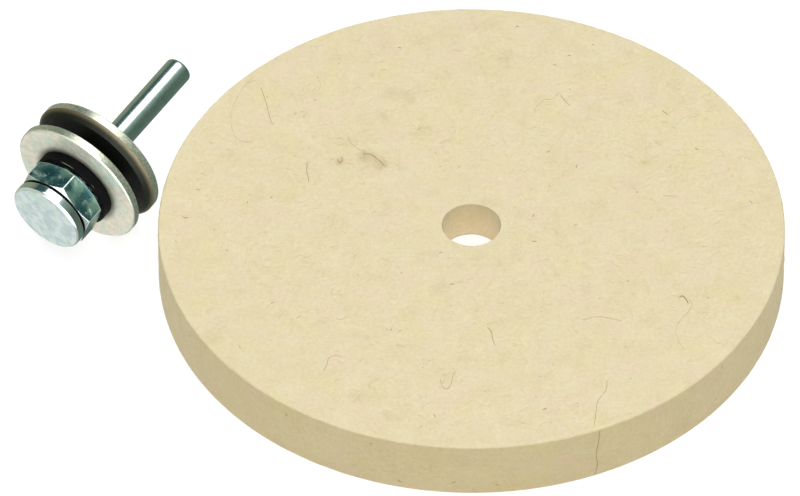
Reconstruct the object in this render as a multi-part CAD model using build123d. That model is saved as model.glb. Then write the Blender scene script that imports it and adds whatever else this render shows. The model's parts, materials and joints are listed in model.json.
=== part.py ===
from build123d import *
import os
from math import cos, radians, sin

# A round pressed-felt polishing wheel, lying flat, with the clamping arbor that holds it in a
# drill chuck lying beside it. Millimetres, +Z up. The origin is on the wheel's bore axis, at the
# seat where the arbor's rear flange bears on the felt, which is the lower end of the bore wall.

# Felt wheel
wheel_diameter = 175.0
wheel_thickness = 18.0
wheel_bore_diameter = 16.5
seat_diameter = 44.0            # round recess in the underside, which takes the rear flange
seat_depth = 6.0
rim_rounding = 0.6

# Arbor lengths along its axis. Station 0 is the front face of the front flange, and stations
# grow towards the drill shank.
flange_diameter = 40.0
front_flange_thickness = 2.6
rear_flange_thickness = 4.4
rear_flange_bevel = 2.0         # of its inner edge, which must not cut into the felt
centring_collar_length = 2.4    # one collar on each flange, and they meet when the arbor is shut
centring_clearance = 0.1        # each side, between a centring collar and the wheel's bore
flange_edge = 0.35
washer_diameter = 24.1
washer_thickness = 3.0
washer_slot = 1.4
washer_slot_lean = 25.0         # degrees from the axis
nut_across_flats = 22.0
nut_hex_height = 7.0
nut_face_height = 1.0           # round bearing face below the hexagon
nut_counterbore_depth = 2.0
nut_corner_angle = 27.0         # degrees, the cone that turns off the corners
nut_end_ratio = 0.995           # of the flats' distance, the circle where that cone starts
cap_diameter = 22.5
cap_thickness = 3.0
cap_groove = 0.6                # open groove between the cap and the hexagon
cap_face_thickness = 1.0
cap_edge = 0.25
cap_rounding = 0.9              # of the edge round the cap's face
spigot_diameter = 16.0
stud_diameter = 14.0
stud_end_gap = 0.3              # between the stud's end and the cap's blind end
stud_edge = 0.8
stop_collar_diameter = 18.0
stop_collar_length = 3.2
shank_diameter = 8.0
shank_end = 48.7
shank_rounding = 1.0
sliding_clearance = 0.1         # radial, flange and washer on the stud
thread_clearance = 0.05         # radial, nut on the stud, whose thread is a plain cylinder here
joint_gap = 0.05                # between faces of pieces that move apart

# Where the arbor lies
arbor_x = -110.45
arbor_y = 14.65
arbor_azimuth = 53.6            # degrees, from +X, the way the shank points
arbor_tilt = 8.9                # degrees, the shank end lifted
nut_roll = 51.0                 # degrees, of the hexagon about the arbor's axis

table_z = -seat_depth
wheel_top = table_z + wheel_thickness
centring_diameter = wheel_bore_diameter - 2 * centring_clearance

# Stations along the arbor
washer_front = -washer_thickness
nut_back = washer_front - joint_gap
nut_front = nut_back - nut_face_height - nut_hex_height
cap_back = nut_front - cap_groove
cap_front = cap_back - cap_thickness
stud_end = cap_front + cap_face_thickness + stud_end_gap
collars_meet = front_flange_thickness + centring_collar_length
rear_flange_front = collars_meet + centring_collar_length
rear_flange_back = rear_flange_front + rear_flange_thickness
shank_start = rear_flange_back + stop_collar_length


def rod(diameter, start, end):
    """A round bar on the Z axis between two heights."""
    return Pos(0, 0, start) * Cylinder(diameter / 2, end - start, align=(Align.CENTER, Align.CENTER, Align.MIN))


def edges_at(shape, height, diameter):
    """The circular edges of one diameter at one height."""
    rings = shape.edges().filter_by(GeomType.CIRCLE)
    return [
        ring for ring in rings
        if abs(ring.center().Z - height) < 1e-3 and abs(ring.radius - diameter / 2) < 1e-3
    ]


def make_felt_wheel():
    """One disc of hard pressed felt, with a through bore and a flange seat underneath."""
    disc = rod(wheel_diameter, table_z, wheel_top)
    disc = fillet(edges_at(disc, table_z, wheel_diameter) + edges_at(disc, wheel_top, wheel_diameter), rim_rounding)
    disc -= rod(wheel_bore_diameter, table_z - 1, wheel_top + 1)
    disc -= rod(seat_diameter, table_z - 1, 0)
    return disc


def make_spindle():
    """The stud, its stop collar and the drill shank, turned from one bar."""
    stud = chamfer(edges_at(rod(stud_diameter, stud_end, rear_flange_back), stud_end, stud_diameter), stud_edge)
    shank = rod(shank_diameter, shank_start, shank_end)
    shank = fillet(edges_at(shank, shank_end, shank_diameter), shank_rounding)
    stop_collar = rod(stop_collar_diameter, rear_flange_back, shank_start)
    stop_collar = chamfer(edges_at(stop_collar, shank_start, stop_collar_diameter), flange_edge)
    return stud + stop_collar + shank


def make_flange(disc_front, disc_back, front_edge, collar_start, collar_end, bore_diameter):
    """A clamping disc with a centring collar for the wheel's bore on its inner face."""
    disc = rod(flange_diameter, disc_front, disc_back)
    disc = chamfer(edges_at(disc, disc_back, flange_diameter), flange_edge)
    disc = chamfer(edges_at(disc, disc_front, flange_diameter), front_edge)
    collar = rod(centring_diameter, collar_start, collar_end)
    return disc + collar - rod(bore_diameter, disc_front - 10, disc_back + 10)


def make_front_flange():
    """Slides on the stud, pushed by the nut through the lock washer."""
    bore_diameter = stud_diameter + 2 * sliding_clearance
    collar_end = collars_meet - joint_gap
    return make_flange(0, front_flange_thickness, flange_edge, front_flange_thickness, collar_end, bore_diameter)


def make_rear_flange():
    """Pressed on the stud against the stop collar."""
    return make_flange(
        rear_flange_front, rear_flange_back, rear_flange_bevel, collars_meet, rear_flange_front, stud_diameter
    )


def make_lock_washer():
    """A flat spring lock washer, split by a leaning slot on its underside."""
    ring = rod(washer_diameter, washer_front, 0) - rod(stud_diameter + 2 * sliding_clearance, washer_front, 0)
    reach = washer_diameter / 2
    slot = Rot(0, washer_slot_lean, 0) * Box(washer_slot, reach, 4 * washer_thickness)
    return ring - Pos(0, -reach / 2, washer_front / 2) * slot


def make_hex_nut():
    """A thin hexagon nut with a round bearing face, and a counterbore for the cap's spigot."""
    corner_radius = nut_across_flats / 2 / cos(radians(30))
    hex_back = nut_back - nut_face_height
    outline = Rot(0, 0, nut_roll) * RegularPolygon(corner_radius, 6)
    hexagon = Pos(0, 0, nut_front) * extrude(outline, nut_hex_height)
    # The corners are turned off at both ends by a cone that starts inside the flats.
    end_radius = nut_across_flats / 2 * nut_end_ratio
    corner_drop = (corner_radius + 1 - end_radius) * sin(radians(nut_corner_angle)) / cos(radians(nut_corner_angle))
    turned = revolve(
        Plane.XZ * make_face(Polyline(
            (0, nut_front),
            (end_radius, nut_front),
            (corner_radius + 1, nut_front + corner_drop),
            (corner_radius + 1, hex_back - corner_drop),
            (end_radius, hex_back),
            (0, hex_back),
            close=True,
        )),
        Axis.Z,
    )
    bearing_face = rod(2 * end_radius, hex_back, nut_back)
    bearing_face = chamfer(edges_at(bearing_face, nut_back, 2 * end_radius), cap_edge)
    body = (hexagon & turned) + bearing_face
    body -= rod(stud_diameter + 2 * thread_clearance, nut_front - 1, nut_back + 1)
    return body - rod(spigot_diameter, nut_front - 1, nut_front + nut_counterbore_depth)


def make_nut_cap():
    """The round cap that closes the nut, with a hollow spigot pressed into its counterbore."""
    disc = rod(cap_diameter, cap_front, cap_back)
    disc = chamfer(edges_at(disc, cap_back, cap_diameter), cap_edge)
    disc = fillet(edges_at(disc, cap_front, cap_diameter), cap_rounding)
    spigot = rod(spigot_diameter, cap_back, nut_front + nut_counterbore_depth)
    stud_room = rod(stud_diameter + 4 * sliding_clearance, cap_front + cap_face_thickness, nut_back)
    return disc + spigot - stud_room


def lay_down(piece):
    """Move a piece from the arbor's own axis to where the arbor lies, front flange on the table."""
    azimuth = radians(arbor_azimuth)
    tilt = radians(arbor_tilt)
    axis = (cos(tilt) * cos(azimuth), cos(tilt) * sin(azimuth), sin(tilt))
    sideways = (-sin(azimuth), cos(azimuth), 0)
    height = table_z + flange_diameter / 2 * cos(tilt) - flange_edge * sin(tilt)
    return Plane(origin=(arbor_x, arbor_y, height), x_dir=sideways, z_dir=axis) * piece


nodes = {
    "felt_wheel": make_felt_wheel(),
    "spindle": lay_down(make_spindle()),
    "rear_flange": lay_down(make_rear_flange()),
    "front_flange": lay_down(make_front_flange()),
    "lock_washer": lay_down(make_lock_washer()),
    "hex_nut": lay_down(make_hex_nut()),
    "nut_cap": lay_down(make_nut_cap()),
}

os.makedirs("parts", exist_ok=True)
for name, shape in nodes.items():
    shape.label = name
    export_step(shape, f"parts/{name}.step")
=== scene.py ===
import json
import math
import random

import bmesh
import bpy
import numpy as np
from mathutils import Matrix, Vector, noise


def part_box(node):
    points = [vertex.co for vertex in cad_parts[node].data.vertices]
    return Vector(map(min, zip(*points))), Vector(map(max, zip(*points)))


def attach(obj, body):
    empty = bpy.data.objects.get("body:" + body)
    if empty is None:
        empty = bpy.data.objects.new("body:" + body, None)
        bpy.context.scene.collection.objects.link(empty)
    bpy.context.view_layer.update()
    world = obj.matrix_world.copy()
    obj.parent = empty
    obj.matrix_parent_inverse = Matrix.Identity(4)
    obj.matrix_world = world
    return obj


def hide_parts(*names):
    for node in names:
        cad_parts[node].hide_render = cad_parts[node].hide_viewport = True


# A hard-felt polishing wheel lying on a pale floor, with its clamping arbor beside it.
# Lengths below are in millimetres unless a name says otherwise; MM turns them into metres.
MM = 0.001

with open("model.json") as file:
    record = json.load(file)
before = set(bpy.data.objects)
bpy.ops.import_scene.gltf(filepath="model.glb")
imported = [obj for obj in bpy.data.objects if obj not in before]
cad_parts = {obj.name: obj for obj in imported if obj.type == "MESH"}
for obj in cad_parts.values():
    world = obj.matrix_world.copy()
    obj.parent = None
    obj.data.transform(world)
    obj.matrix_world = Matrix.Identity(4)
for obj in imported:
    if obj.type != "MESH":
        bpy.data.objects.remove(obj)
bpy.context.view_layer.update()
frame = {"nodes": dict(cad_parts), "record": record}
nodes = frame["nodes"]
mounts = {mount["name"]: mount for mount in frame["record"]["mounts"]}

# The wheel, from its CAD solid
wheel_low, wheel_high = (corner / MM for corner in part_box("felt_wheel"))
wheel_radius = wheel_high.x
table_height = wheel_low.z
top_height = wheel_high.z
bore_radius = mounts["wheel_bore"]["dims"]["r_mm"]
seat_height = mounts["wheel_bore"]["pos_m"][2] / MM
seat_radius = 22.0
rim_rounding = 0.7

# The arbor's own axes: stations run along it, from the front flange's face towards the shank
arbor_axis = Vector(mounts["shank"]["axis"]).normalized()
shank_centre = Vector(mounts["shank"]["pos_m"])
arbor_origin = shank_centre + arbor_axis * min(
    (vertex.co - shank_centre).dot(arbor_axis) for vertex in nodes["front_flange"].data.vertices
)
arbor_turn = arbor_axis.to_track_quat("Z", "Y").to_matrix()
arbor_matrix = Matrix.Translation(arbor_origin) @ arbor_turn.to_4x4()
nut_front, nut_back = -11.05, -3.05
nut_flat_radius = 11.0
nut_end_ratio = 0.995
nut_corner_cone = math.radians(27)
nut_end_radius = nut_flat_radius * nut_end_ratio
nut_corner_slope = math.tan(nut_corner_cone)
front_flange_back, rear_rim_front = 2.6, 9.4

# The thread and the stop collar of the arbor's bar, as stations along it
thread_pitch = 1.5
thread_stop = 6.6
stop_collar_start, stop_collar_end = 11.8, 15.0

scrap_count, scraps_on_top = 80, 56
seed = 17
dice = random.Random(seed)


# ---------------------------------------------------------------- camera, floor and light

def make_camera():
    """A long lens from the front, 45 degrees up, so that the view is nearly without perspective."""
    elevation = math.radians(44.65)
    distance = 3940 * MM
    field_width = 224.4 * MM
    aim = Vector((-19.95, 8.95, table_height)) * MM
    data = bpy.data.cameras.new("camera")
    data.sensor_width = 36
    data.lens = data.sensor_width * distance / field_width
    data.clip_end = 20
    camera = bpy.data.objects.new("camera", data)
    camera.location = aim + distance * Vector((0, -math.cos(elevation), math.sin(elevation)))
    camera.rotation_euler = (math.pi / 2 - elevation, 0, 0)
    bpy.context.scene.collection.objects.link(camera)
    bpy.context.scene.camera = camera
    bpy.context.scene.view_settings.view_transform = "Standard"


class Graph:
    """An empty node tree, with short calls for the nodes the materials and the dome are built from."""

    def __init__(self, owner):
        owner.use_nodes = True
        self.tree = owner.node_tree
        self.tree.nodes.clear()

    def put(self, kind, values=None, **settings):
        """Add a node. values go to its sockets, as numbers or links, and settings to its own fields."""
        node = self.tree.nodes.new(kind)
        for field, value in settings.items():
            setattr(node, field, value)
        for socket, value in (values or {}).items():
            self.set(node, socket, value)
        return node

    def set(self, node, socket, value):
        if isinstance(value, bpy.types.NodeSocket):
            self.tree.links.new(value, node.inputs[socket])
        else:
            node.inputs[socket].default_value = value

    def place(self):
        """The position on the piece at rest, in millimetres of the model's frame."""
        coordinates = self.put("ShaderNodeTexCoord")
        values = {0: coordinates.outputs["Object"], 1: (1 / MM,) * 3}
        scaled = self.put("ShaderNodeVectorMath", values, operation="MULTIPLY")
        return scaled.outputs[0]

    def arbor_place(self):
        """The same position in the arbor's own axes, so that z is the station along it."""
        turn = arbor_turn.transposed()
        shift = turn @ (-arbor_origin / MM)
        values = {"Vector": self.place(), "Location": shift}
        mapping = self.put("ShaderNodeMapping", values, vector_type="POINT")
        mapping.inputs["Rotation"].default_value = turn.to_euler()
        return mapping.outputs[0]

    def stretch(self, vector, scale, angle=0.0):
        """Turn the position about z, then stretch it."""
        values = {"Vector": vector, "Angle": angle}
        turned = self.put("ShaderNodeVectorRotate", values, rotation_type="Z_AXIS")
        scaled = self.put("ShaderNodeVectorMath", {0: turned.outputs[0], 1: scale}, operation="MULTIPLY")
        return scaled.outputs[0]

    def noise(self, vector, size, detail=3.0, roughness=0.55, distortion=0.0, output=0):
        """Noise whose largest features are about size millimetres."""
        node = self.put("ShaderNodeTexNoise", {
            "Vector": vector, "Scale": 1 / size, "Detail": detail, "Roughness": roughness,
            "Distortion": distortion,
        })
        return node.outputs[output]

    def math(self, operation, first, second=0.0, clamp=False):
        values = {0: first, 1: second}
        return self.put("ShaderNodeMath", values, operation=operation, use_clamp=clamp).outputs[0]

    def span(self, value, low, high, to_low=0.0, to_high=1.0):
        """value, carried smoothly from one span to another and held at its ends."""
        return self.put("ShaderNodeMapRange", {
            "Value": value, "From Min": low, "From Max": high, "To Min": to_low, "To Max": to_high,
        }, interpolation_type="SMOOTHSTEP").outputs[0]

    def mix(self, factor, first, second, blend="MIX"):
        node = self.put("ShaderNodeMix", data_type="RGBA", blend_type=blend)
        self.set(node, 0, factor)
        self.set(node, 6, first)
        self.set(node, 7, second)
        return node.outputs[2]

    def ridges(self, vector, size, width):
        """Thin winding lines, 1 on the line and 0 away from it."""
        value = self.noise(vector, size, detail=2.0, distortion=0.4)
        offset = self.math("ABSOLUTE", self.math("SUBTRACT", value, 0.5))
        return self.span(offset, 0.0, width, 1.0, 0.0)

    def bump(self, height, distance, normal=None):
        values = {"Height": height, "Distance": distance * MM, "Strength": 1.0}
        if normal is not None:
            values["Normal"] = normal
        return self.put("ShaderNodeBump", values).outputs[0]

    def ramp(self, value, stops):
        """A colour that goes through the stops as value goes from 0 to 1."""
        node = self.put("ShaderNodeValToRGB", {0: value})
        elements = node.color_ramp.elements
        for position, colour in stops[1:-1]:
            elements.new(position).color = (*colour, 1)
        elements[0].color = (*stops[0][1], 1)
        elements[len(stops) - 1].color = (*stops[-1][1], 1)
        return node.outputs[0]

    def separate(self, vector):
        return self.put("ShaderNodeSeparateXYZ", {0: vector}).outputs

    def radius(self, vector):
        """Distance from the z axis."""
        flat = self.put("ShaderNodeVectorMath", {0: vector, 1: (1, 1, 0)}, operation="MULTIPLY")
        return self.put("ShaderNodeVectorMath", {0: flat.outputs[0]}, operation="LENGTH").outputs["Value"]


class Finish(Graph):
    """A material with one principled shader."""

    def __init__(self, name):
        self.material = bpy.data.materials.new(name)
        super().__init__(self.material)
        self.shader = self.put("ShaderNodeBsdfPrincipled")
        self.put("ShaderNodeOutputMaterial", {"Surface": self.shader.outputs[0]})

    def finish(self, **values):
        """Set the shader's sockets, with underscores for spaces in their names."""
        for socket, value in values.items():
            self.set(self.shader, socket.replace("_", " "), value)
        return self.material


def srgb(red, green, blue):
    """A colour given as 0-255 display values, as the linear RGBA that sockets take."""
    def linear(value):
        value /= 255
        return value / 12.92 if value <= 0.04045 else ((value + 0.055) / 1.055) ** 2.4
    return linear(red), linear(green), linear(blue), 1.0


def make_floor():
    """A large pale light table just under the object."""
    half = 4.0
    z = table_height * MM
    mesh = bpy.data.meshes.new("floor")
    corners = [(-half, -half, z), (half, -half, z), (half, half, z), (-half, half, z)]
    mesh.from_pydata(corners, [], [(0, 1, 2, 3)])
    floor = bpy.data.objects.new("floor", mesh)
    bpy.context.scene.collection.objects.link(floor)
    paper = Finish("floor_paper")
    grain = paper.noise(paper.place(), 3.0)
    tint = paper.mix(grain, (0.26, 0.26, 0.26, 1), (0.28, 0.28, 0.28, 1))
    glow = (1.0, 1.0, 1.0, 1)
    mesh.materials.append(paper.finish(
        Base_Color=tint, Roughness=0.9, Specular_IOR_Level=0.0,
        Emission_Color=glow, Emission_Strength=0.84,
    ))
    floor.visible_glossy = False


def make_world():
    """The studio round the object: a dome that lights it, and the dark set that its metal reflects."""
    world = bpy.data.worlds.new("studio")
    bpy.context.scene.world = world
    studio = Graph(world)
    direction = studio.put("ShaderNodeTexCoord").outputs["Generated"]
    x, y, z = studio.separate(direction)[:3]
    dome = studio.ramp(z, [
        (0.00, (0.055, 0.080, 0.068)),
        (0.30, (0.060, 0.085, 0.072)),
        (0.40, (0.120, 0.112, 0.085)),
        (0.58, (0.115, 0.110, 0.085)),
        (0.66, (0.012, 0.036, 0.044)),
        (0.84, (0.018, 0.050, 0.058)),
        (0.91, (1.000, 1.000, 1.000)),
        (1.00, (1.000, 1.000, 1.000)),
    ])
    # The set, from straight below to straight above: a pale bench, grey-green walls, a strip light.
    height = studio.put("ShaderNodeMapRange", {"Value": z, "From Min": -1.0}).outputs[0]
    back_wall = studio.ramp(height, [
        (0.000, (0.315, 0.310, 0.305)),
        (0.130, (0.315, 0.310, 0.305)),
        (0.180, (0.100, 0.115, 0.090)),
        (0.600, (0.100, 0.112, 0.080)),
        (0.740, (0.065, 0.080, 0.058)),
        (0.800, (0.012, 0.032, 0.032)),
        (0.945, (0.014, 0.036, 0.036)),
        (0.965, (1.000, 1.000, 1.000)),
        (1.000, (1.000, 1.000, 1.000)),
    ])
    side_wall = studio.ramp(height, [
        (0.000, (0.055, 0.075, 0.065)),
        (0.325, (0.040, 0.060, 0.049)),
        (0.625, (0.036, 0.052, 0.040)),
        (0.765, (0.065, 0.090, 0.078)),
        (0.880, (0.100, 0.140, 0.125)),
        (0.920, (0.200, 0.230, 0.220)),
        (0.942, (1.000, 1.000, 1.000)),
        (1.000, (1.000, 1.000, 1.000)),
    ])
    wall_lean = 0.3
    leaning = studio.math("SUBTRACT", x, studio.math("MULTIPLY", y, wall_lean))
    side = studio.span(leaning, -0.3, 0.0)
    walls = studio.mix(side, back_wall, side_wall)
    window_side, window_foot = (-0.62, -0.48), (-0.6, -0.4)
    in_front = studio.span(y, *window_side, 1.0, 0.0)
    window = studio.math("MULTIPLY", in_front, studio.span(z, *window_foot))
    walls = studio.mix(window, walls, (1.0, 1.0, 1.0, 1))
    studio_strength = 3.4
    rays = studio.put("ShaderNodeLightPath").outputs
    look = studio.mix(rays["Is Glossy Ray"], dome, walls)
    lit = studio.put("ShaderNodeBackground", {"Color": look, "Strength": studio_strength}).outputs[0]
    backdrop = studio.put("ShaderNodeBackground", {"Color": (1.0, 1.0, 1.0, 1)}).outputs[0]
    surface = studio.put("ShaderNodeMixShader", {0: rays["Is Camera Ray"], 1: lit, 2: backdrop}).outputs[0]
    studio.put("ShaderNodeOutputWorld", {"Surface": surface})


def make_light(name, direction, distance, size, power):
    """A square soft light that points at the wheel's middle."""
    data = bpy.data.lights.new(name, "AREA")
    data.size = size
    data.energy = power
    light = bpy.data.objects.new(name, data)
    light.location = Vector(direction).normalized() * distance
    light.rotation_euler = Vector(direction).to_track_quat("Z", "Y").to_euler()
    bpy.context.scene.collection.objects.link(light)


# ---------------------------------------------------------------- materials

def felt_material():
    """Hard pressed wool: cream, softly blotched, with matted fibres and a few brown stains."""
    felt = Finish("pressed_felt")
    place = felt.place()
    warp = felt.noise(place, 6.0, output=1)
    warped = felt.put("ShaderNodeVectorMath", {0: place, 1: warp}, operation="ADD").outputs[0]

    # Three layers of fibres at different angles, drawn out along their length.
    fibres = None
    for turn, size in ((0.3, 1.1), (1.4, 0.9), (2.4, 1.3)):
        layer = felt.ridges(felt.stretch(warped, (0.35, 1.6, 1.6), turn), size, 0.06)
        fibres = layer if fibres is None else felt.math("MAXIMUM", fibres, layer)
    grain = felt.noise(place, 0.5, detail=4.0, roughness=0.7)

    blotch = felt.span(felt.noise(place, 7.0, detail=5.0, roughness=0.7), 0.3, 0.7)
    colour = felt.mix(blotch, srgb(228, 212, 176), srgb(223, 205, 165))
    pink = felt.span(felt.noise(felt.stretch(place, (1, 1, 1), 0.9), 11.0, detail=4.0), 0.48, 0.64, 0.0, 0.7)
    colour = felt.mix(pink, colour, srgb(228, 206, 176))
    yellow = felt.span(felt.noise(felt.stretch(place, (1, 1, 1), 2.1), 9.0, detail=4.0), 0.50, 0.66, 0.0, 0.4)
    colour = felt.mix(yellow, colour, srgb(226, 209, 160))
    mottle = felt.span(felt.noise(place, 1.1, detail=4.0, roughness=0.75), 0.3, 0.7, 0.95, 1.045)
    mottles = felt.put("ShaderNodeCombineColor", {0: mottle, 1: mottle, 2: mottle}).outputs[0]
    colour = felt.mix(1.0, colour, mottles, "MULTIPLY")
    colour = felt.mix(felt.math("MULTIPLY", fibres, 0.16), colour, srgb(240, 230, 200))

    # The upright faces carry painted light and shade: the cut rim is painted darker and browner, and the bore
    # wall lighter, than the flat faces.
    normal = felt.separate(felt.put("ShaderNodeTexCoord").outputs["Normal"])
    upright = felt.span(felt.math("ABSOLUTE", normal[2]), 0.3, 0.9, 1.0, 0.0)
    bore_wall = felt.span(felt.radius(place), bore_radius + 3, bore_radius + 4, 1.0, 0.0)
    shade = felt.mix(bore_wall, (0.87, 0.835, 0.735, 1), (1.08, 1.08, 1.08, 1))
    colour = felt.mix(upright, colour, felt.mix(1.0, colour, shade, "MULTIPLY"))

    stain = felt.put("ShaderNodeAttribute", attribute_name="stain").outputs["Fac"]
    stain = felt.math("MULTIPLY", stain, felt.span(felt.noise(place, 0.8, detail=4.0), 0.3, 0.7, 0.4, 1.0))
    colour = felt.mix(stain, colour, srgb(156, 128, 72))

    height = felt.math("ADD", felt.math("MULTIPLY", fibres, 0.5), felt.math("MULTIPLY", grain, 0.5))
    normal = felt.bump(height, 0.07)
    return felt.finish(
        Base_Color=colour, Roughness=0.95, Normal=normal,
        Specular_IOR_Level=0.15, Sheen_Weight=0.15, Sheen_Roughness=0.6,
    )


def fibre_material(name, colour, other):
    """A wool fibre, a little lighter and darker along its length."""
    fibre = Finish(name)
    tone = fibre.noise(fibre.place(), 2.0)
    return fibre.finish(Base_Color=fibre.mix(tone, colour, other), Roughness=0.7, Specular_IOR_Level=0.25)


def zinc_material():
    """Zinc-plated clamping flange: satin turned faces, faint green and pink passivation, worn edges."""
    zinc = Finish("zinc_plated_steel")
    place = zinc.arbor_place()
    radius = zinc.radius(place)
    station = zinc.separate(place)[2]
    patch = zinc.span(zinc.noise(place, 6.0, detail=3.0), 0.40, 0.60)
    colour = zinc.mix(patch, (0.76, 0.70, 0.60, 1), (0.66, 0.69, 0.59, 1))
    pink = zinc.span(zinc.noise(zinc.stretch(place, (1, 1, 1), 1.0), 8.0), 0.5, 0.65, 0.0, 0.6)
    colour = zinc.mix(pink, colour, (0.78, 0.67, 0.59, 1))
    cloud = zinc.span(zinc.noise(place, 1.8, detail=4.0, roughness=0.7), 0.35, 0.65, 0.90, 1.07)
    clouds = zinc.put("ShaderNodeCombineColor", {0: cloud, 1: cloud, 2: cloud}).outputs[0]
    colour = zinc.mix(1.0, colour, clouds, "MULTIPLY")
    speck = zinc.noise(place, 0.5, detail=4.0, roughness=0.8)
    colour = zinc.mix(zinc.span(speck, 0.52, 0.72, 0.0, 0.45), colour, (0.30, 0.31, 0.25, 1))
    across = zinc.math("ABSOLUTE", zinc.put("ShaderNodeVectorMath", {
        0: zinc.put("ShaderNodeTexCoord").outputs["Normal"], 1: arbor_axis,
    }, operation="DOT_PRODUCT").outputs["Value"])
    rim = zinc.math("MULTIPLY", zinc.span(radius, 19.2, 19.5), zinc.span(across, 0.3, 0.5, 1.0, 0.0))
    rim_colour = zinc.mix(zinc.span(speck, 0.40, 0.62), (0.78, 0.76, 0.62, 1), (0.40, 0.43, 0.33, 1))
    colour = zinc.mix(rim, colour, rim_colour)
    worn = zinc.math("MULTIPLY", zinc.span(radius, 19.5, 19.75), zinc.span(across, 0.5, 0.6))
    worn = zinc.math("MULTIPLY", worn, zinc.span(across, 0.93, 0.98, 1.0, 0.0))
    worn = zinc.math("MULTIPLY", worn, zinc.span(zinc.noise(place, 5.0), 0.42, 0.60, 0.15, 0.9))
    colour = zinc.mix(worn, colour, (0.72, 0.71, 0.62, 1))
    ring_place = zinc.put("ShaderNodeCombineXYZ", {0: radius, 1: station, 2: 0.0}).outputs[0]
    # The two faces that look into the gap are painted dark, which stands for the deep shade there.
    middle = (front_flange_back + rear_rim_front) / 2
    from_middle = zinc.math("ABSOLUTE", zinc.math("SUBTRACT", station, middle))
    half_gap = rear_rim_front - middle
    gripping = zinc.span(from_middle, half_gap - 0.02, half_gap + 0.10, 1.0, 0.0)
    deep_shade = zinc.mix(zinc.span(radius, 18.8, 20.1), (0.018, 0.021, 0.014, 1), (0.22, 0.18, 0.11, 1))
    colour = zinc.mix(gripping, colour, deep_shade)
    # A painted dark ring round the washer stands for a soft shadow on the flange's face.
    near_washer = zinc.span(radius, 12.0, 14.4, 0.85, 0.0)
    shade = zinc.math("MULTIPLY", near_washer, zinc.span(station, 0.1, 0.3, 1.0, 0.0))
    colour = zinc.mix(shade, colour, (0.10, 0.10, 0.06, 1))
    rings = zinc.noise(ring_place, 0.35, detail=2.0)
    roughness = zinc.span(zinc.noise(place, 1.2, detail=4.0), 0.3, 0.7, 0.46, 0.60)
    roughness = zinc.put("ShaderNodeMix", {0: rim, 2: roughness, 3: 0.33}).outputs[0]
    metal = zinc.span(rim, 0.0, 1.0, 0.75, 0.90)
    height = zinc.math("ADD", zinc.math("MULTIPLY", rings, 0.3), zinc.math("MULTIPLY", speck, 0.7))
    return zinc.finish(Base_Color=colour, Metallic=metal, Roughness=roughness, Normal=zinc.bump(height, 0.04))


def nut_material():
    """Bright drawn hexagon: dark cool flats with small scratches, bright chamfers, and corners and creases
    lightened by wear and by a painted edge highlight.
    """
    nut = Finish("nut_steel")
    place = nut.arbor_place()
    cloud = nut.span(nut.noise(place, 4.5, detail=3.5), 0.30, 0.70)
    colour = nut.mix(cloud, (0.08, 0.23, 0.27, 1), (0.28, 0.45, 0.38, 1))
    scratch = nut.ridges(nut.stretch(place, (0.5, 2.0, 1.2), 0.7), 1.6, 0.02)
    nicks = nut.math("MULTIPLY", scratch, nut.span(nut.noise(place, 2.2), 0.52, 0.62))
    slope = nut.math("ABSOLUTE", nut.put("ShaderNodeVectorMath", {
        0: nut.put("ShaderNodeTexCoord").outputs["Normal"], 1: arbor_axis,
    }, operation="DOT_PRODUCT").outputs["Value"])
    chamfer = nut.math("MULTIPLY", nut.span(slope, 0.25, 0.45), nut.span(slope, 0.93, 0.98, 1.0, 0.0))
    # Corners and creases are lightened and made less metallic: partly wear, partly a painted edge highlight.
    worn = nut.put("ShaderNodeAttribute", attribute_name="worn").outputs["Fac"]
    worn = nut.math("MAXIMUM", worn, nicks)
    bright = nut.math("MAXIMUM", worn, chamfer)
    colour = nut.mix(bright, colour, (0.84, 0.88, 0.86, 1))
    # The open groove under the cap is painted near black, which stands for the shade in it.
    groove = nut.span(nut.separate(place)[2], nut_front + 0.05, nut_front + 0.20, 1.0, 0.0)
    colour = nut.mix(groove, colour, (0.008, 0.008, 0.007, 1))
    roughness = nut.math("ADD", nut.span(cloud, 0.0, 1.0, 0.22, 0.34), nut.math("MULTIPLY", worn, 0.2))
    metal = nut.span(worn, 0.0, 1.0, 1.0, 0.35)
    height = nut.noise(place, 0.9, detail=4.0)
    height = nut.math("SUBTRACT", height, nut.math("MULTIPLY", scratch, 0.5))
    return nut.finish(Base_Color=colour, Metallic=metal, Roughness=roughness, Normal=nut.bump(height, 0.01))


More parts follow.
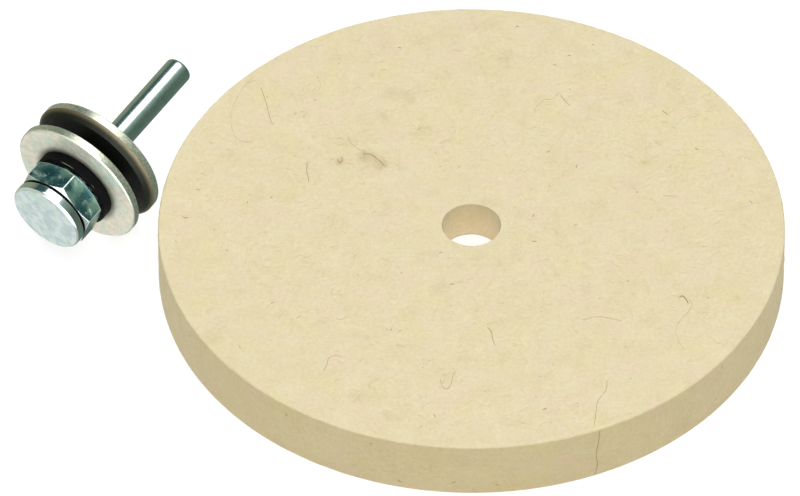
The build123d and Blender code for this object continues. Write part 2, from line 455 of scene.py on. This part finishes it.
def cap_material():
    """The cap: a finely brushed pale face and a polished edge, which is also lightened and made half matt as
    a painted highlight.
    """
    cap = Finish("brushed_cap")
    place = cap.arbor_place()
    brushed = cap.noise(cap.stretch(place, (0.3, 3.0, 1.0), 1.9), 1.5, detail=4.0, roughness=0.7)
    patch = cap.noise(place, 3.0, detail=5.0)
    green = cap.span(cap.noise(cap.stretch(place, (1, 1, 1), 1.3), 5.0), 0.54, 0.68)
    slope = cap.math("ABSOLUTE", cap.put("ShaderNodeVectorMath", {
        0: cap.put("ShaderNodeTexCoord").outputs["Normal"], 1: arbor_axis,
    }, operation="DOT_PRODUCT").outputs["Value"])
    face = cap.span(slope, 0.8, 0.95)
    face_colour = cap.mix(cap.span(patch, 0.4, 0.6), (0.52, 0.64, 0.65, 1), (0.69, 0.77, 0.76, 1))
    face_colour = cap.mix(green, face_colour, (0.57, 0.71, 0.63, 1))
    streak = cap.span(brushed, 0.3, 0.7, 0.93, 1.05)
    streaks = cap.put("ShaderNodeCombineColor", {0: streak, 1: streak, 2: streak}).outputs[0]
    face_colour = cap.mix(1.0, face_colour, streaks, "MULTIPLY")
    colour = cap.mix(face, (0.62, 0.67, 0.65, 1), face_colour)
    # The edge round the face is painted pale and half matt, which stands partly for a highlight along it.
    rim = cap.math("MULTIPLY", cap.span(slope, 0.25, 0.5), cap.span(slope, 0.88, 0.97, 1.0, 0.0))
    colour = cap.mix(rim, colour, (0.80, 0.85, 0.82, 1))
    metal = cap.span(rim, 0.0, 1.0, 1.0, 0.5)
    roughness = cap.span(face, 0.0, 1.0, 0.10, 0.42)
    height = cap.math("MULTIPLY", brushed, face)
    return cap.finish(Base_Color=colour, Metallic=metal, Roughness=roughness, Normal=cap.bump(height, 0.012))


def spindle_material():
    """Polished steel with faint turning lines round it."""
    steel = Finish("polished_steel")
    place = steel.arbor_place()
    lines = steel.noise(steel.stretch(place, (0.15, 0.15, 3.0)), 0.5, detail=3.0)
    stain = steel.span(steel.noise(place, 5.0, detail=4.0), 0.35, 0.7)
    colour = steel.mix(stain, (0.58, 0.64, 0.61, 1), (0.50, 0.58, 0.55, 1))
    roughness = steel.span(lines, 0.3, 0.7, 0.14, 0.26)
    return steel.finish(Base_Color=colour, Metallic=1.0, Roughness=roughness, Normal=steel.bump(lines, 0.003))


def washer_material():
    """Black-oxide spring steel, whose near-black colour also stands for the nut's shadow here, rubbed grey
    here and there.
    """
    black = Finish("black_spring_steel")
    place = black.arbor_place()
    rubbed = black.span(black.noise(place, 1.5, detail=4.0), 0.55, 0.75, 0.0, 0.5)
    # The near-black colour is partly a painted shadow of the nut.
    colour = black.mix(rubbed, (0.003, 0.003, 0.004, 1), (0.012, 0.011, 0.009, 1))
    edge = black.math("MULTIPLY", black.span(black.radius(place), 11.92, 12.0),
                      black.span(black.separate(place)[2], -2.92, -2.84, 1.0, 0.0))
    edge = black.math("MULTIPLY", edge, black.span(black.noise(place, 7.0), 0.46, 0.60))
    colour = black.mix(edge, colour, (0.24, 0.24, 0.17, 1))
    height = black.noise(place, 0.4, detail=4.0)
    return black.finish(
        Base_Color=colour, Roughness=0.6, Specular_IOR_Level=0.05, Normal=black.bump(height, 0.01),
    )


# ---------------------------------------------------------------- meshes

def new_piece(name, points, faces, material, weld=False):
    """A smooth mesh object from points in millimetres. weld joins points that fall together."""
    mesh = bpy.data.meshes.new(name)
    mesh.from_pydata([tuple(point) for point in np.asarray(points) * MM], [], faces)
    shell = bmesh.new()
    shell.from_mesh(mesh)
    if weld:
        bmesh.ops.remove_doubles(shell, verts=shell.verts, dist=0.0005 * MM)
    bmesh.ops.recalc_face_normals(shell, faces=shell.faces)
    shell.to_mesh(mesh)
    shell.free()
    mesh.polygons.foreach_set("use_smooth", [True] * len(mesh.polygons))
    mesh.materials.append(material)
    mesh.update()
    piece = bpy.data.objects.new(name, mesh)
    bpy.context.scene.collection.objects.link(piece)
    return piece


def mark(piece, name, values):
    """Store a number on every point of a piece, for its material to read."""
    attribute = piece.data.attributes.new(name, "FLOAT", "POINT")
    attribute.data.foreach_set("value", np.array(values, np.float32))


def arbor_points(name):
    """A CAD node's corners in the arbor's own axes, in millimetres."""
    to_arbor = arbor_matrix.inverted()
    return [to_arbor @ vertex.co / MM for vertex in nodes[name].data.vertices]


def line_points(start, end, step):
    """Points from start towards end, no further apart than step, without the end itself."""
    count = max(1, math.ceil(math.dist(start, end) / step))
    return [tuple(a + (b - a) * i / count for a, b in zip(start, end)) for i in range(count)]


def arc_points(centre, radius, from_degrees, to_degrees, count):
    """Points on an arc in the profile's plane, without its last one."""
    angles = [math.radians(from_degrees + (to_degrees - from_degrees) * i / count) for i in range(count)]
    return [(centre[0] + radius * math.cos(a), centre[1] + radius * math.sin(a)) for a in angles]


def wheel_profile(step):
    """The closed section of the wheel as (radius, height) points, from the bore's lower end upwards."""
    outer = wheel_radius
    inner_round = 0.1
    outer_round = rim_rounding
    points = line_points((bore_radius, seat_height), (bore_radius, top_height - inner_round), step)
    points += arc_points((bore_radius + inner_round, top_height - inner_round), inner_round, 180, 90, 3)
    points += line_points((bore_radius + inner_round, top_height), (outer - outer_round, top_height), step)
    points += arc_points((outer - outer_round, top_height - outer_round), outer_round, 90, 0, 4)
    points += line_points((outer, top_height - outer_round), (outer, table_height + outer_round), step)
    points += arc_points((outer - outer_round, table_height + outer_round), outer_round, 0, -90, 4)
    seat_edge = seat_radius + inner_round
    points += line_points((outer - outer_round, table_height), (seat_edge, table_height), step)
    points += arc_points((seat_radius + inner_round, table_height + inner_round), inner_round, -90, -180, 3)
    points += line_points((seat_radius, table_height + inner_round), (seat_radius, seat_height), step)
    points += line_points((seat_radius, seat_height), (bore_radius, seat_height), step)
    return points


def ring_faces(rows, columns, closed_rows):
    """Quads between rows of points that each go once round."""
    faces = []
    for row in range(rows if closed_rows else rows - 1):
        following = (row + 1) % rows
        for column in range(columns):
            beside = (column + 1) % columns
            faces.append((
                row * columns + column, row * columns + beside,
                following * columns + beside, following * columns + column,
            ))
    return faces


def felt_relief(point):
    """How far the felt stands proud of its true surface at a point, in millimetres."""
    swell = noise.noise(point / 19.0) * 0.08
    tufts = noise.noise(point / 3.6) * 0.05
    nap = noise.noise(point / 1.3) * 0.04
    return swell + tufts + nap


# Brown marks in the top face: place, reach and strength
stains = [
    ((-36.7, 25.4), 1.1, 0.50),
    ((-37.0, 24.6), 0.8, 0.35),
    ((-29.9, 28.4), 1.4, 0.45),
    ((-30.2, 26.2), 1.3, 0.38),
    ((-27.6, 27.6), 1.4, 0.42),
    ((-25.4, 25.2), 1.4, 0.42),
    ((-25.6, 22.6), 1.1, 0.36),
    ((-24.3, 23.7), 1.0, 0.42),
    ((-27.5, 24.8), 2.4, 0.20),
    ((-25.0, 43.6), 1.5, 0.28),
    ((-27.9, 60.2), 0.6, 0.50),
    ((-49.2, 27.4), 0.5, 0.50),
    ((-34.5, 33.0), 2.4, 0.14),
    ((-13.5, 37.5), 2.6, 0.14),
    ((-17.0, 49.5), 1.6, 0.14),
    ((-29.5, 43.0), 3.5, 0.08),
    ((-67.5, 28.0), 2.5, 0.12),
    ((48.7, 25.0), 1.2, 0.35),
    ((42.6, -48.3), 0.6, 0.45),
    ((-29.3, -44.6), 0.9, 0.3),
    ((-23.5, -74.8), 1.2, 0.25),
    ((48.5, -38.3), 1.6, 0.14),
    ((73.5, -29.0), 1.0, 0.25),
    ((-49.5, 11.5), 1.2, 0.16),
    ((-14.5, -67.8), 1.0, 0.18),
]


def stain_at(point):
    """How stained the felt is at a point, from 0 to 1."""
    total = 0.0
    if point.z > top_height - 2:
        for (x, y), reach, strength in stains:
            away = math.hypot(point.x - x, point.y - y) / reach
            if away < 3:
                total += strength * math.exp(-away * away)
    blemish = noise.noise(point / 7.0 + Vector((31, 5, 9)))
    return min(1.0, total + max(0.0, blemish - 0.42) * 0.4)


def make_wheel(material):
    """The felt disc, with an uneven pressed surface, revolved from its section."""
    columns = 720
    profile = wheel_profile(0.95)
    rows = len(profile)
    points = []
    stain = []
    for index, (radius, height) in enumerate(profile):
        before, after = profile[index - 1], profile[(index + 1) % rows]
        along = Vector((after[0] - before[0], after[1] - before[1])).normalized()
        outward = Vector((-along.y, along.x))
        for column in range(columns):
            angle = 2 * math.pi * column / columns
            round_unit = Vector((math.cos(angle), math.sin(angle), 0))
            point = round_unit * radius + Vector((0, 0, height))
            normal = round_unit * outward.x + Vector((0, 0, outward.y))
            lift = felt_relief(point)
            if height <= table_height + rim_rounding:
                lift = min(lift, 0.0)
            points.append(point + normal * lift)
            stain.append(stain_at(point))
    wheel = new_piece("pressed_felt_disc", points, ring_faces(rows, columns, True), material)
    mark(wheel, "stain", stain)
    return wheel


def tube(path, radius, sides, points, faces):
    """Add a thin tube that narrows to a point at both ends."""
    path = [Vector(point) for point in path]
    start = len(points)
    points.append(path[0])
    inner = path[1:-1]
    for index, centre in enumerate(inner):
        along = (path[index + 2] - path[index]).normalized()
        side = along.cross(Vector((0.31, 0.17, 0.93))).normalized()
        other = along.cross(side)
        for corner in range(sides):
            angle = 2 * math.pi * corner / sides
            points.append(centre + (side * math.cos(angle) + other * math.sin(angle)) * radius)
    points.append(path[-1])
    last = len(points) - 1
    first_ring = start + 1
    final_ring = first_ring + (len(inner) - 1) * sides
    for corner in range(sides):
        beside = (corner + 1) % sides
        faces.append((start, first_ring + beside, first_ring + corner))
        faces.append((last, final_ring + corner, final_ring + beside))
        for ring in range(len(inner) - 1):
            low = first_ring + ring * sides
            faces.append((low + corner, low + beside, low + sides + beside, low + sides + corner))


def smooth_path(knots, count):
    """count points on a smooth line through a few knots."""
    knots = [Vector(knot) for knot in knots]
    padded = [2 * knots[0] - knots[1], *knots, 2 * knots[-1] - knots[-2]]
    path = []
    for index in range(count):
        place = index / (count - 1) * (len(knots) - 1)
        span = min(int(place), len(knots) - 2)
        t = place - span
        a, b, c, d = padded[span:span + 4]
        square = (2 * a - 5 * b + 4 * c - d) * t * t
        cube = (3 * b - a - 3 * c + d) * t ** 3
        path.append(0.5 * (2 * b + (c - a) * t + square + cube))
    return path


def on_top(x, y, lift=0.05):
    return Vector((x, y, top_height + lift))


def on_rim(x, drop, lift=0.05):
    """A point on the front of the rim, so far below the top edge."""
    radius = wheel_radius + lift
    return Vector((x, -math.sqrt(radius * radius - x * x), top_height - drop))


def loose_fibre(origin, along, outward, length, lift):
    """A short wool fibre: it leaves the felt, wanders over it and goes back in."""
    across = outward.cross(along)
    bend = dice.uniform(-0.5, 0.5)
    swing = dice.uniform(-0.25, 0.25)
    steps = 6
    path = []
    for step in range(steps):
        t = step / (steps - 1)
        rise = lift * math.sin(math.pi * t) - 0.06 * (1 - math.sin(math.pi * t))
        sideways = length * (bend * (t - 0.5) ** 2 + swing * (t - 0.5) ** 3)
        path.append(origin + along * (length * (t - 0.5)) + across * sideways + outward * rise)
    return path


def standing_fibre(origin, along, outward, length):
    """A wool fibre that stands off an edge."""
    curl = dice.uniform(-0.6, 0.6)
    steps = 5
    path = []
    for step in range(steps):
        t = step / (steps - 1)
        rise = length * t * (1 - 0.3 * t) - 0.05
        path.append(origin + outward * rise + along * (length * curl * t * t))
    return path


def make_nap(material):
    """Thousands of short wool fibres lying on the faces and standing off the edges."""
    points = []
    faces = []
    up = Vector((0, 0, 1))
    for _ in range(2600):
        radius = math.sqrt(dice.uniform((bore_radius + 1.5) ** 2, (wheel_radius - 1.5) ** 2))
        angle = dice.uniform(0, 2 * math.pi)
        heading = dice.uniform(0, 2 * math.pi)
        origin = Vector((radius * math.cos(angle), radius * math.sin(angle), top_height))
        along = Vector((math.cos(heading), math.sin(heading), 0))
        path = loose_fibre(origin, along, up, dice.uniform(1.2, 3.8), dice.uniform(0.05, 0.2))
        tube(path, dice.uniform(0.018, 0.032), 3, points, faces)
    for _ in range(1100):
        angle = dice.uniform(0, 2 * math.pi)
        outward = Vector((math.cos(angle), math.sin(angle), 0))
        origin = outward * wheel_radius + up * dice.uniform(table_height + 1.2, top_height - 1.2)
        around = up.cross(outward)
        heading = dice.gauss(0, 0.5)
        along = around * math.cos(heading) + up * math.sin(heading)
        path = loose_fibre(origin, along, outward, dice.uniform(0.8, 2.2), dice.uniform(0.04, 0.15))
        tube(path, dice.uniform(0.018, 0.03), 3, points, faces)
    edges = (
        (wheel_radius - 0.2, top_height - 0.2, 1),
        (wheel_radius - 0.2, table_height + 0.4, 0),
        (bore_radius + 0.1, top_height - 0.1, 1),
    )
    for edge_radius, edge_height, upward in edges:
        for _ in range(int(edge_radius * 8)):
            angle = dice.uniform(0, 2 * math.pi)
            radial = Vector((math.cos(angle), math.sin(angle), 0))
            sign = -1 if edge_radius < wheel_radius / 2 else 1
            lean = radial * (sign * dice.uniform(0.3, 1.0)) + up * (upward * dice.uniform(0.0, 0.8))
            origin = radial * edge_radius + up * edge_height
            path = standing_fibre(origin, up.cross(radial), lean.normalized(), dice.uniform(0.25, 0.9))
            tube(path, dice.uniform(0.014, 0.024), 3, points, faces)
    return new_piece("wool_nap", points, faces, material)


def felt_scraps():
    """Tiny brown scraps pressed into the top face and the rim, as knots and radii."""
    up = Vector((0, 0, 1))
    scraps = []
    for number in range(scrap_count):
        angle = dice.uniform(0, 2 * math.pi)
        outward = Vector((math.cos(angle), math.sin(angle), 0))
        heading = dice.uniform(0, 2 * math.pi)
        if number < scraps_on_top:
            radius = math.sqrt(dice.uniform((bore_radius + 3) ** 2, (wheel_radius - 3) ** 2))
            origin = outward * radius + up * top_height
            face, along = up, Vector((math.cos(heading), math.sin(heading), 0))
        else:
            origin = outward * wheel_radius + up * dice.uniform(table_height + 2, top_height - 2)
            face, along = outward, up.cross(outward) * math.cos(heading) + up * math.sin(heading)
        path = loose_fibre(origin, along, face, dice.uniform(0.4, 1.5), 0.09)
        scraps.append((path, dice.uniform(0.05, 0.09)))
    return scraps


def make_hairs(material, faint_material):
    """The stray dark hairs matted into the felt, each through a few listed points."""
    dark = [
        ([on_top(-59.2, 55.4), on_top(-57.9, 50), on_top(-56.8, 44.4), on_top(-56.1, 41.0),
          on_top(-55.2, 40.2)], 0.062),
        ([on_top(-45.9, 25.2), on_top(-46.1, 22), on_top(-45.7, 19), on_top(-45.6, 16.9)], 0.065),
        ([on_top(-30.4, 28.2), on_top(-28.4, 28.2), on_top(-26.3, 26.2), on_top(-24.2, 23.4)], 0.085),
        ([on_top(-37.6, 26.2), on_top(-36.9, 24.9), on_top(-36.0, 26.0), on_top(-36.5, 26.9)], 0.08),
        ([on_top(-35.9, -52.2), on_top(-37.9, -51.7), on_top(-39.6, -52.6), on_top(-40.1, -55),
          on_top(-41.2, -58)], 0.06),
        ([on_top(-4.6, -57.6), on_top(-5.4, -59.5), on_top(-5.6, -62), on_top(-6.8, -64.6),
          on_top(-8.4, -63.5), on_top(-8.8, -60.6)], 0.045),
        ([on_top(4.2, -40.4), on_top(5.4, -42.4), on_top(5.7, -45.3), on_top(6.5, -48)], 0.07),
        ([on_top(57.7, -28.9), on_top(58.4, -28.2), on_top(59.4, -29.4), on_top(60.1, -31.4)], 0.13),
        ([on_top(37.2, -60.8), on_top(37.0, -64.6), on_top(36.0, -66.8), on_top(34.4, -70),
          on_top(33.9, -75), on_top(33.5, -79.2)], 0.058),
        ([on_rim(35.0, 0.3), on_rim(34.7, 5), on_rim(34.1, 9.5), on_rim(34.5, 13.5),
          on_rim(33.9, 17.4)], 0.065),
        ([on_top(25.1, 52.0), on_top(26.2, 50.3), on_top(27.8, 47.8)], 0.055),
        ([on_top(53.9, 45.8), on_top(54.6, 45), on_top(55.4, 44)], 0.07),
        ([on_top(62.8, 30.8), on_top(63.3, 30.2), on_top(64.0, 29.9)], 0.07),
        ([on_top(77.6, 9.6), on_top(78.2, 9), on_top(78.6, 8.2)], 0.07),
        ([on_top(-80.6, 3.2), on_top(-79.9, 2.7), on_top(-79.2, 2.8)], 0.07),
    ]
    faint = [
        ([on_top(-60.2, 58.4), on_top(-63.2, 56.6), on_top(-65.6, 51.5), on_top(-67.3, 46), on_top(-67.5, 41),
          on_top(-66.6, 36.0), on_top(-64.4, 33.4), on_top(-61.0, 33.0)], 0.048),
        ([on_top(60.3, -29.6), on_top(61.1, -31.6), on_top(60.0, -34.6), on_top(57.8, -37.6),
          on_top(56.5, -42), on_top(57.4, -46.6), on_top(58.8, -49.2)], 0.055),
        ([on_top(30.6, -37.6), on_top(34.5, -36.4), on_top(38.5, -37), on_top(41.8, -38.2)], 0.06),
        ([on_top(-8.6, -62.9), on_top(-7.4, -60.2), on_top(-8.4, -58.8)], 0.05),
        ([on_top(-34.6, 35.4), on_top(-33.6, 32.4), on_top(-31.6, 30.2), on_top(-30.2, 29.2)], 0.07),
        ([on_top(-42.8, 58.2), on_top(-42.3, 56.4), on_top(-42.9, 53.6)], 0.05),
        ([on_top(17.6, 44.6), on_top(18.4, 47.3), on_top(20.6, 50.1), on_top(22.6, 50.3),
          on_top(25.2, 53.4)], 0.06),
    ]
    for _ in range(14):
        radius = math.sqrt(dice.uniform(12 ** 2, 84 ** 2))
        angle = dice.uniform(0, 2 * math.pi)
        heading = dice.uniform(0, 2 * math.pi)
        along = Vector((math.cos(heading), math.sin(heading), 0))
        origin = Vector((radius * math.cos(angle), radius * math.sin(angle), top_height))
        path = loose_fibre(origin, along, Vector((0, 0, 1)), dice.uniform(1.5, 5.0), 0.08)
        faint.append((path, dice.uniform(0.03, 0.05)))
    dark += felt_scraps()
    made = []
    for name, hairs, colour in (("dark_hairs", dark, material), ("pale_hairs", faint, faint_material)):
        points = []
        faces = []
        for knots, radius in hairs:
            tube(smooth_path(knots, 4 * len(knots) + 2), radius, 5, points, faces)
        made.append(new_piece(name, points, faces, colour))
    return made


def make_spindle(material):
    """The arbor's bar: M14 x 1.5 thread, stop collar and drill shank, with a true helical thread."""
    stud_radius = 7.0
    thread_depth = 0.92
    stations = [point.z for point in arbor_points("spindle")]
    stud_end = min(stations)
    stud_edge = 0.8
    collar_radius = 9.0
    shank_radius = mounts["shank"]["dims"]["r_mm"]
    shank_end = max(stations)
    shank_round = 1.0
    edge = 0.35
    step = thread_pitch / 12
    profile = [(0.0, stud_end)]
    profile += line_points((stud_radius - stud_edge, stud_end), (stud_radius, stud_end + stud_edge), step)
    profile += line_points((stud_radius, stud_end + stud_edge), (stud_radius, thread_stop), step)
    profile += [(stud_radius, thread_stop), (stud_radius, stop_collar_start)]
    profile += [(collar_radius, stop_collar_start), (collar_radius, stop_collar_end - edge)]
    profile += [(collar_radius - edge, stop_collar_end)]
    profile += [(shank_radius, stop_collar_end), (shank_radius, stop_collar_end + 0.4)]
    profile += [(shank_radius, shank_end - shank_round - 0.4)]
    profile += arc_points((shank_radius - shank_round, shank_end - shank_round), shank_round, 0, 90, 6)
    profile += [(shank_radius - shank_round, shank_end), (0.0, shank_end)]
    columns = 96
    points = []
    for radius, station in profile:
        for column in range(columns):
            angle = 2 * math.pi * column / columns
            cut = 0.0
            if stud_end < station < thread_stop and radius > stud_radius - stud_edge - 0.01:
                turn = (station / thread_pitch - column / columns) % 1.0
                groove = max(0.0, 1 - abs(turn - 0.5) / 0.44)
                fade = min(1.0, (thread_stop - station) / thread_pitch)
                cut = thread_depth * groove * fade
            reach = min(radius, stud_radius - cut) if cut else radius
            points.append((reach * math.cos(angle), reach * math.sin(angle), station))
    faces = ring_faces(len(profile), columns, False)
    bar = new_piece("threaded_spindle", points, faces, material, weld=True)
    bar.data.transform(arbor_matrix)
    bar.data.set_sharp_from_angle(angle=math.radians(35))
    return bar


def smooth_least(first, second, blend):
    """The lesser of two lengths, with the crease between them rounded over."""
    near = max(blend - abs(first - second), 0.0) / blend
    return min(first, second) - near * near * blend / 4


def nut_surface(angle, depth):
    """The hexagon's radius so far from its end, its edge wear and painted edge highlight there, and how deep
    the cone goes.

    The flats have rounded corners, and a cone turns them off at both ends.
    """
    sector = math.radians(60)
    turn = (angle + sector / 2) % sector - sector / 2
    beside = turn - math.copysign(sector, turn)
    flat, next_flat = (nut_flat_radius / math.cos(side) for side in (turn, beside))
    flats = smooth_least(flat, next_flat, 0.30)
    cone = nut_end_radius + depth / nut_corner_slope
    # Corners and the crease are marked for wear and for a painted edge highlight.
    corner_wear_and_glint = math.exp(-((flat - next_flat) / 0.16) ** 2)
    crease_wear_and_glint = math.exp(-((flats - cone) / 0.12) ** 2)
    point_wear_and_glint = max(corner_wear_and_glint, crease_wear_and_glint) if flats < cone + 0.1 else crease_wear_and_glint
    return smooth_least(flats, cone, 0.12), point_wear_and_glint, (flats - nut_end_radius) * nut_corner_slope


def make_nut(material):
    """The hexagon nut: corners with wear and a painted edge highlight, arched chamfers, a bearing face and
    the cap's counterbore.
    """
    hex_back = nut_back - 1.0
    thread_radius, counterbore_radius, counterbore = 7.05, 8.0, nut_front + 2.0
    edge = 0.25
    corner = max(arbor_points("hex_nut"), key=lambda point: math.hypot(point.x, point.y))
    corner_angle = math.atan2(corner.y, corner.x)
    columns = 720
    # Each row is a radius and a station, or a part of the cone's depth and a distance past it.
    below = [(thread_radius, counterbore), (counterbore_radius, counterbore), (counterbore_radius, nut_front)]
    below += [(nut_end_radius - 0.15, nut_front), (nut_end_radius, nut_front)]
    cone_rows = [(0.2, 0), (0.4, 0), (0.6, 0), (0.8, 0), (0.9, 0), (1, 0)]
    cone_rows += [(1, 0.06), (1, 0.15), (1, 0.4), (1, 1.2), (1, 2)]
    above = [(nut_end_radius, hex_back), (nut_end_radius, nut_back - edge), (nut_end_radius - edge, nut_back)]
    above += [(thread_radius, nut_back)]
    points = []
    # Each point's edge wear, which the material also paints as a bright edge highlight.
    worn = []

    def add_point(radius, column, station, point_wear_and_glint=0.0):
        turned = 2 * math.pi * column / columns + corner_angle
        points.append((radius * math.cos(turned), radius * math.sin(turned), station))
        worn.append(point_wear_and_glint)

    def add_cone_row(part, past, end, inward):
        for column in range(columns):
            angle = 2 * math.pi * column / columns - math.radians(30)
            depth = part * nut_surface(angle, 0)[2] + past
            radius, point_wear_and_glint, _ = nut_surface(angle, depth)
            add_point(radius, column, end + inward * depth, point_wear_and_glint)

    for radius, station in below:
        for column in range(columns):
            add_point(radius, column, station)
    for part, past in cone_rows:
        add_cone_row(part, past, nut_front, 1)
    for part, past in reversed(cone_rows):
        add_cone_row(part, past, hex_back, -1)
    for radius, station in above:
        for column in range(columns):
            add_point(radius, column, station)
    rows = len(points) // columns
    nut = new_piece("worn_hex_nut", points, ring_faces(rows, columns, True), material)
    mark(nut, "worn", worn)
    nut.data.transform(arbor_matrix)
    nut.data.set_sharp_from_angle(angle=math.radians(50))
    return nut


# ---------------------------------------------------------------- the object

make_camera()
make_floor()
make_world()
make_light("camera_side", (0.03, -0.69, 0.72), 2.6, 0.8, 14)

cream_fibre = fibre_material("wool_fibre", srgb(236, 226, 194), srgb(222, 206, 164))
dark_hair = fibre_material("dark_hair", srgb(178, 148, 104), srgb(146, 118, 80))
pale_hair = fibre_material("pale_hair", srgb(212, 194, 150), srgb(196, 176, 130))

wheel = make_wheel(felt_material())
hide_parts("felt_wheel")
nap = make_nap(cream_fibre)
hairs = make_hairs(dark_hair, pale_hair)
for piece in (wheel, nap, *hairs):
    piece.visible_glossy = False
    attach(piece, "wheel")

spindle = make_spindle(spindle_material())
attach(spindle, "spindle")
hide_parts("spindle")

nut = make_nut(nut_material())
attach(nut, "cap_nut")
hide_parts("hex_nut")

zinc = zinc_material()
finishes = {
    "rear_flange": zinc,
    "front_flange": zinc,
    "lock_washer": washer_material(),
    "nut_cap": cap_material(),
}
for name, material in finishes.items():
    nodes[name].data.materials.clear()
    nodes[name].data.materials.append(material)
